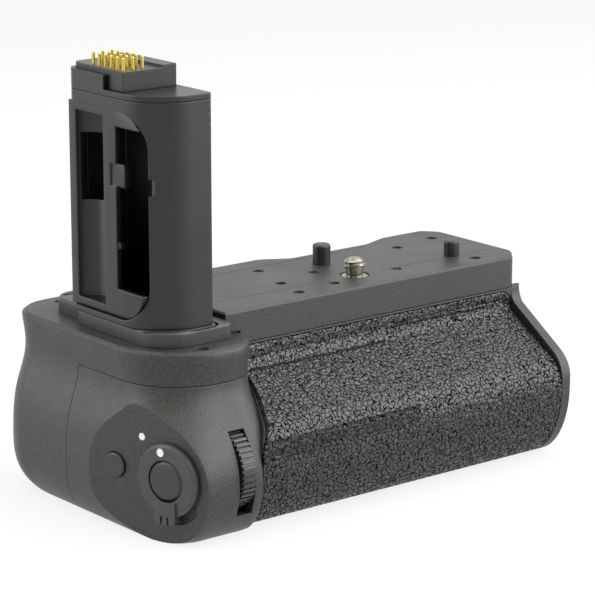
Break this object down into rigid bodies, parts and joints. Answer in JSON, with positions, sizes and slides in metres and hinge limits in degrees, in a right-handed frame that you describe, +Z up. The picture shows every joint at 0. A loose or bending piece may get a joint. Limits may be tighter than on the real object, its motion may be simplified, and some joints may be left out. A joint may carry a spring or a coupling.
{
  "type": "camera battery grip",
  "caption": "Vertical battery grip for a camera: rubber-clad body, deck with tripod screw, battery-shaped contact plug, turned-end controls and a sliding battery tray.",
  "frame": {"origin": "mouth of the tripod socket in the middle of the bottom, straight under the camera screw", "axes": "+X along the grip towards the battery door, -Y towards the rubber front, +Z up along the camera screw"},
  "size_m": [0.1454, 0.0908, 0.1272],
  "materials": {
    "body_plastic": "dark, finely textured moulding",
    "plug_plastic": "dark smooth moulding",
    "grip_rubber": "pebbled",
    "seal_rubber": "smooth",
    "button_plastic": "polished black",
    "dial_plastic": "ribbed black",
    "ring_paint": "satin black",
    "dot_paint": "white filled dot",
    "gold": "gold plated contact",
    "bright_steel": "nickel plated",
    "plain_steel": "stamped or turned",
    "black_steel": "blackened",
    "board_laminate": "circuit board",
    "inner_plastic": "plain black moulding"
  },
  "bodies": {
    "grip": {"bay_contacts": "gold", "bay_liner": "inner_plastic", "body_dot": "dot_paint", "bottom_screws": "black_steel", "contact_block": "plug_plastic", "contact_pins": "gold", "control_board": "board_laminate", "deck_screws": "black_steel", "end_cover": "body_plastic", "front_cover": "body_plastic", "front_dial_axle": "plain_steel", "front_dial_bracket": "plain_steel", "grip_rubber": "grip_rubber", "key_switches": "inner_plastic", "left_locating_pin": "black_steel", "mount_chassis": "plain_steel", "plug_base": "body_plastic", "plug_board": "board_laminate", "plug_cap": "plug_plastic", "plug_frame": "plug_plastic", "plug_seal": "seal_rubber", "plug_shell": "plug_plastic", "rear_board": "board_laminate", "rear_cover": "body_plastic", "rear_dial_axle": "plain_steel", "rear_dial_bracket": "plain_steel", "right_locating_pin": "black_steel", "ring_clip": "plain_steel", "selector_base": "inner_plastic", "shoulder_screws": "black_steel", "shutter_housing": "body_plastic", "top_cover": "body_plastic", "tripod_socket": "bright_steel", "wheel_axle": "plain_steel"},
    "mount_wheel": {"mount_wheel": "dial_plastic"},
    "camera_screw": {"camera_screw": "bright_steel", "screw_gear": "plain_steel"},
    "release_button": {"release_button": "button_plastic"},
    "lock_ring": {"lock_ring": "ring_paint", "ring_dot": "dot_paint"},
    "function_button": {"function_button": "button_plastic"},
    "focus_button": {"focus_button": "button_plastic"},
    "info_button": {"info_button": "button_plastic"},
    "front_dial": {"front_dial": "dial_plastic"},
    "rear_dial": {"rear_dial": "dial_plastic"},
    "selector_gimbal": {"selector_gimbal": "inner_plastic"},
    "selector_stick": {"selector_stick": "button_plastic"},
    "battery_tray": {"battery_tray": "inner_plastic", "tray_door": "body_plastic"},
    "tray_latch": {"tray_latch": "button_plastic"}
  },
  "joints": [
    {"name": "wheel_turn", "type": "hinge", "parent": "grip", "child": "mount_wheel", "pos_m": [0.012, 0.01575, 0.052], "axis": [0, 0, 1], "continuous": true},
    {"name": "screw_turn", "type": "hinge", "parent": "grip", "child": "camera_screw", "pos_m": [0, 0, 0.055], "axis": [0, 0, 1], "continuous": true},
    {"name": "release_press", "type": "slide", "parent": "grip", "child": "release_button", "axis": [0.9659, 0.2588, 0], "range_m": [0, 0.001], "stiffness_N_per_m": 1000, "springref_m": -0.0005},
    {"name": "ring_turn", "type": "hinge", "parent": "grip", "child": "lock_ring", "pos_m": [-0.08177, -0.02211, 0.018], "axis": [-0.9659, -0.2588, 0], "range_deg": [0, 30]},
    {"name": "function_press", "type": "slide", "parent": "grip", "child": "function_button", "axis": [0.9659, 0.2588, 0], "range_m": [0, 0.0006], "stiffness_N_per_m": 1333.3, "springref_m": -0.0003},
    {"name": "focus_press", "type": "slide", "parent": "grip", "child": "focus_button", "axis": [0, -1, 0], "range_m": [0, 0.0006], "stiffness_N_per_m": 1333.3, "springref_m": -0.0003},
    {"name": "info_press", "type": "slide", "parent": "grip", "child": "info_button", "axis": [0, -1, 0], "range_m": [0, 0.0006], "stiffness_N_per_m": 1333.3, "springref_m": -0.0003},
    {"name": "front_dial_turn", "type": "hinge", "parent": "grip", "child": "front_dial", "pos_m": [-0.0653, -0.0243, 0.01885], "axis": [1, 0, 0], "continuous": true},
    {"name": "rear_dial_turn", "type": "hinge", "parent": "grip", "child": "rear_dial", "pos_m": [-0.067, 0.0441, 0.041], "axis": [0, 0, 1], "continuous": true},
    {"name": "stick_tilt_up", "type": "hinge", "parent": "grip", "child": "selector_gimbal", "pos_m": [-0.064, 0.0472, 0.018], "axis": [1, 0, 0], "range_deg": [-8, 8], "stiffness_Nm_per_rad": 0.02},
    {"name": "stick_tilt_side", "type": "hinge", "parent": "selector_gimbal", "child": "selector_stick", "pos_m": [-0.064, 0.0472, 0.018], "axis": [0, 0, 1], "range_deg": [-8, 8], "stiffness_Nm_per_rad": 0.02},
    {"name": "tray_slide", "type": "slide", "parent": "grip", "child": "battery_tray", "axis": [1, 0, 0], "range_m": [0, 0.054]},
    {"name": "latch_turn", "type": "hinge", "parent": "battery_tray", "child": "tray_latch", "pos_m": [0.054, 0.0274, 0.027], "axis": [1, 0, 0], "range_deg": [-90, 0]}
  ],
  "couplings": [
    {"joint": "screw_turn", "follows": "wheel_turn", "ratio": -1.5385}
  ]
}
